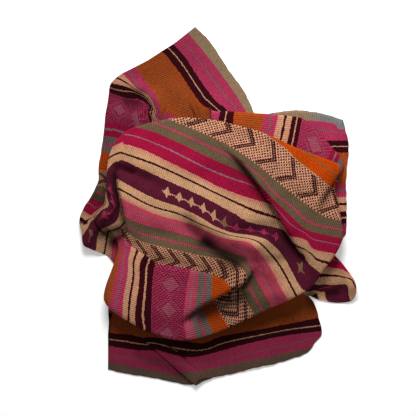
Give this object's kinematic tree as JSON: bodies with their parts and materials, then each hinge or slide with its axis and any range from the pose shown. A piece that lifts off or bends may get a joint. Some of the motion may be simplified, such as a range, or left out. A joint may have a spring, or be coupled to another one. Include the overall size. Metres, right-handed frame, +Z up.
{
  "type": "woven blanket",
  "caption": "Rumpled wool blanket in wool stripes of crimson, orange, taupe, cream and maroon, lying in a loose heap on the floor.",
  "frame": {"origin": "middle of the heap on the floor it lies on", "axes": "+Z up from the floor, +Y along the heap's longer side, towards the corner at the top of the picture"},
  "size_m": [0.6906, 0.8965, 0.0726],
  "materials": {
    "wool": "matte"
  },
  "bodies": {
    "root": {"blanket": "wool"}
  },
  "joints": []
}
